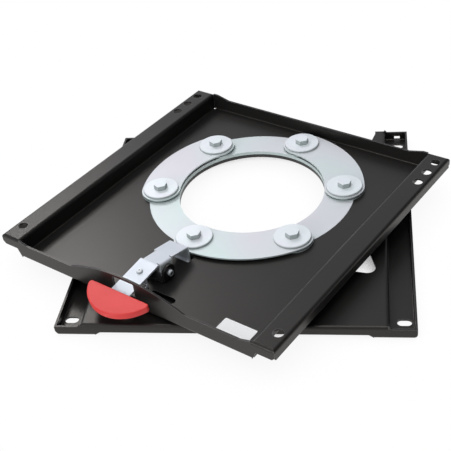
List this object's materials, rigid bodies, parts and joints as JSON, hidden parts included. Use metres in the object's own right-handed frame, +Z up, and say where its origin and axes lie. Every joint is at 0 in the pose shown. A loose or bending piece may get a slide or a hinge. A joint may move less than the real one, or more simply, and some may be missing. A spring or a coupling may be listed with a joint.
{
  "type": "swivel seat base",
  "caption": "Swivel base for a vehicle seat: upper sheet-metal tray turning on a bolted ring stack over a lower tray, with a sprung latch lever and a half-moon handle.",
  "frame": {"origin": "on the swivel axis, in the central opening, level with the top face of the lower tray's floor; the tray's rails stand on a plane 17 mm below it", "axes": "+Z up along the swivel axis; +Y towards the rear of the lower tray, +X to its right; the upper tray is stored turned 29.3 degrees clockwise seen from above, as in the picture"},
  "size_m": [0.5757, 0.574, 0.0614],
  "materials": {
    "black_powder_coat": "satin powder coat",
    "black_plastic": "matte",
    "zinc_plate": "zinc plated, soft sheen",
    "dark_steel": "dark plated",
    "red_plastic": "satin"
  },
  "bodies": {
    "base": {"lower_tray": "black_powder_coat", "glide_ring": "black_plastic", "bearing_ring": "zinc_plate", "retaining_washers": "zinc_plate", "spacer_washers": "dark_steel", "arc_plate_left": "zinc_plate", "arc_plate_right": "zinc_plate", "arc_plate_front": "zinc_plate", "clamp_discs": "zinc_plate", "hex_bolts": "zinc_plate", "nut_washers": "zinc_plate", "lock_nuts": "zinc_plate"},
    "seat_plate": {"upper_tray": "black_powder_coat", "lever_bracket": "black_powder_coat", "pivot_screw": "zinc_plate", "pivot_washer": "dark_steel", "pivot_nut": "zinc_plate", "return_spring": "zinc_plate"},
    "lever": {"release_lever": "zinc_plate", "lever_handle": "red_plastic", "spring_stud": "zinc_plate"}
  },
  "joints": [
    {"name": "swivel", "type": "hinge", "parent": "base", "child": "seat_plate", "pos_m": [0, 0, 0.0044], "axis": [0, 0, 1], "continuous": true},
    {"name": "lever_pivot", "type": "hinge", "parent": "seat_plate", "child": "lever", "pos_m": [-0.09812, -0.17485, 0.0185], "axis": [0.8721, -0.4894, 0], "range_deg": [0, 8], "stiffness_Nm_per_rad": 3, "springref_deg": -14.32, "deforming": ["return_spring"]}
  ]
}
